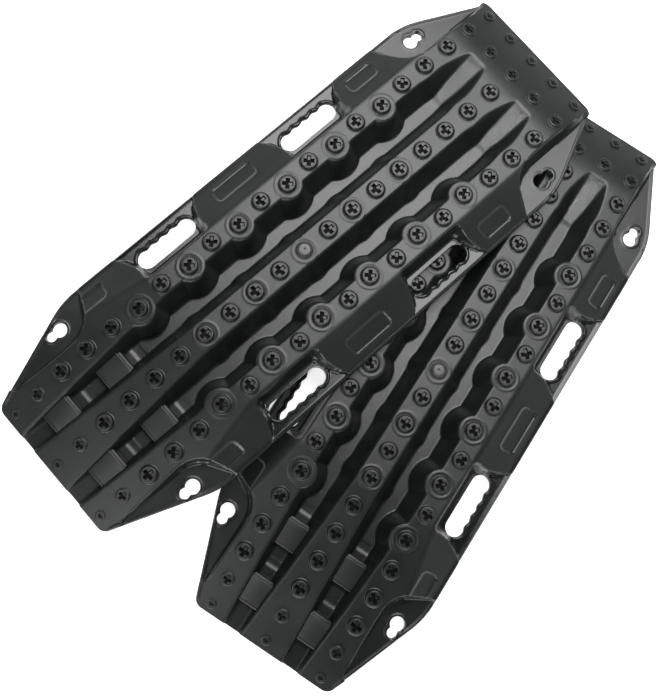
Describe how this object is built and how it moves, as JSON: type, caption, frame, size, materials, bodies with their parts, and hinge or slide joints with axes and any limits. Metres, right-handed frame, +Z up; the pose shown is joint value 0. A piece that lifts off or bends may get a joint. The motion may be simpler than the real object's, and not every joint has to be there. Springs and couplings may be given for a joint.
{
  "type": "vehicle traction boards",
  "caption": "Pair of moulded traction boards for a bogged tyre: studded ridges, channels, hand slots and keyholes, one board lying fanned across the other.",
  "frame": {"origin": "on the ground, under the middle of the box around both boards", "axes": "+X from the ramp nose to the tail of the lower board, +Y to its left, +Z up"},
  "size_m": [1.0334, 0.7132, 0.1145],
  "materials": {
    "deck_plastic": "satin",
    "stud_plastic": "satin",
    "button_plastic": "satin",
    "cleat_plastic": "satin"
  },
  "bodies": {
    "lower_board": {"lower_deck": "deck_plastic", "lower_left_studs": "stud_plastic", "lower_centre_studs": "stud_plastic", "lower_right_studs": "stud_plastic", "lower_centre_button": "button_plastic", "lower_nose_studs": "stud_plastic", "lower_tail_inner_studs": "stud_plastic", "lower_tail_edge_studs": "stud_plastic", "lower_front_left_cleat": "cleat_plastic", "lower_front_right_cleat": "cleat_plastic", "lower_rear_left_cleat": "cleat_plastic", "lower_rear_right_cleat": "cleat_plastic"},
    "upper_board": {"upper_deck": "deck_plastic", "upper_left_studs": "stud_plastic", "upper_centre_studs": "stud_plastic", "upper_right_studs": "stud_plastic", "upper_centre_button": "button_plastic", "upper_nose_studs": "stud_plastic", "upper_tail_inner_studs": "stud_plastic", "upper_tail_edge_studs": "stud_plastic", "upper_front_left_cleat": "cleat_plastic", "upper_front_right_cleat": "cleat_plastic", "upper_rear_left_cleat": "cleat_plastic", "upper_rear_right_cleat": "cleat_plastic"}
  },
  "joints": [
    {"name": "upper_lift", "type": "slide", "parent": "lower_board", "child": "upper_board", "axis": [0, 0, 1], "range_m": [0, 0.3]}
  ]
}
